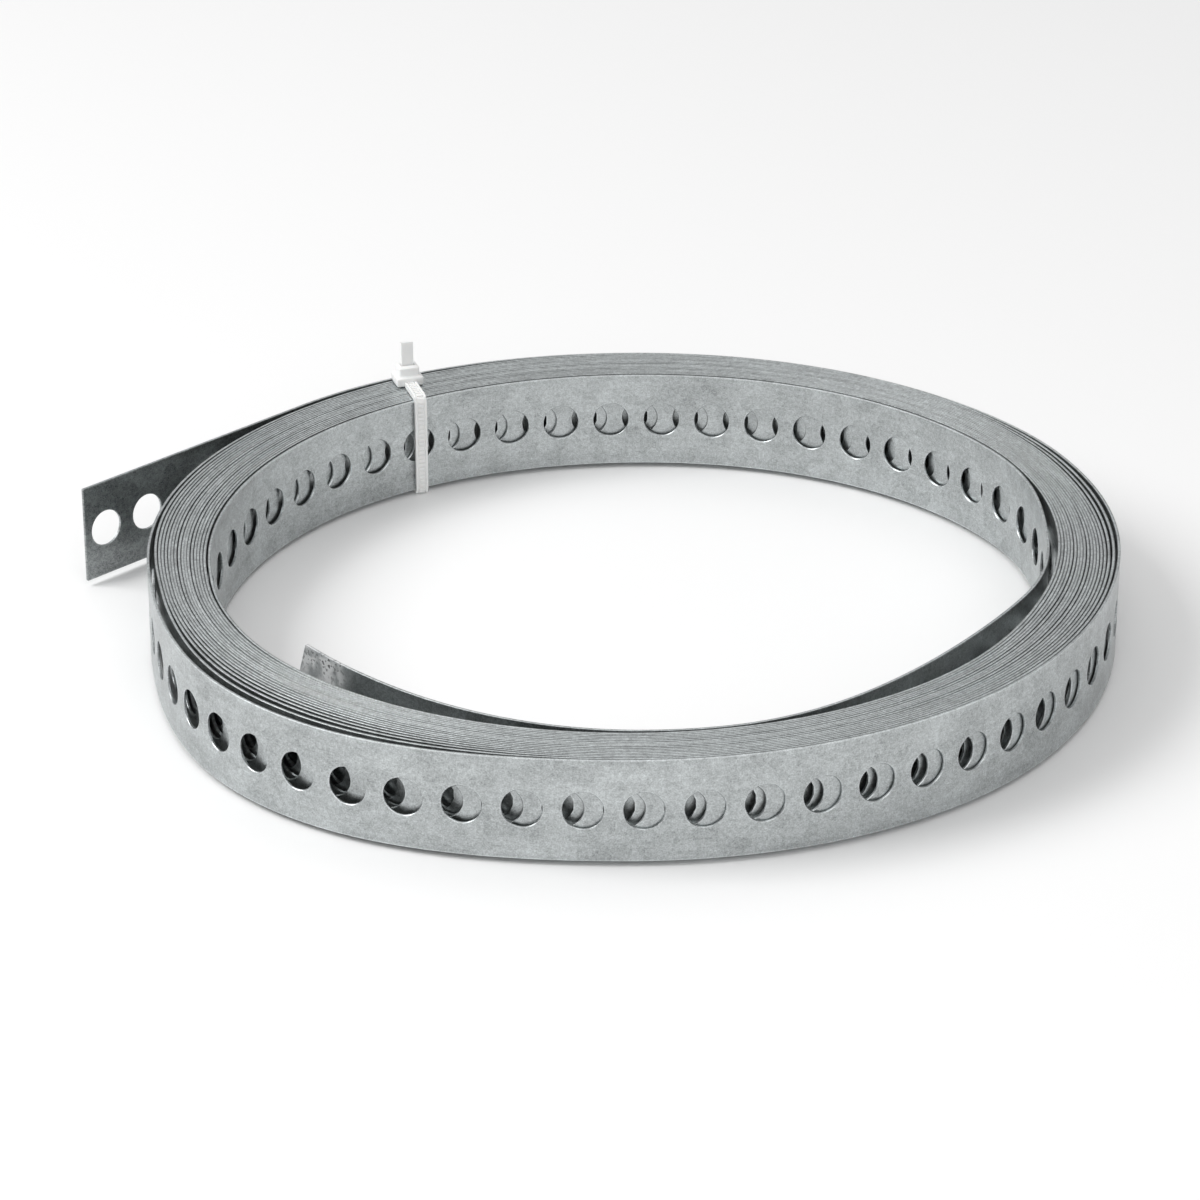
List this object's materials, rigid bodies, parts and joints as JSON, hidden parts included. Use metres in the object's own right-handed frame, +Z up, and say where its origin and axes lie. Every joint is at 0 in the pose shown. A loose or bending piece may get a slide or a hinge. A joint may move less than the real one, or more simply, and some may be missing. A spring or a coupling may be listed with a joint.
{
  "type": "perforated steel strap",
  "caption": "Coil of galvanised steel strap with a row of round punched holes, wound flat, with a straight outer end and a loose inner end, held by a nylon cable tie.",
  "frame": {"origin": "on the coil's axis, level with the lowest point of the part, which is the underside of the cable tie", "axes": "+Z up along the coil's axis; the straight outer end runs along -X and its holes point along Y"},
  "size_m": [0.1859, 0.1792, 0.0289],
  "materials": {
    "galvanised_steel": "satin",
    "nylon": "satin"
  },
  "bodies": {
    "root": {"strap": "galvanised_steel", "cable_tie": "nylon"}
  },
  "joints": []
}
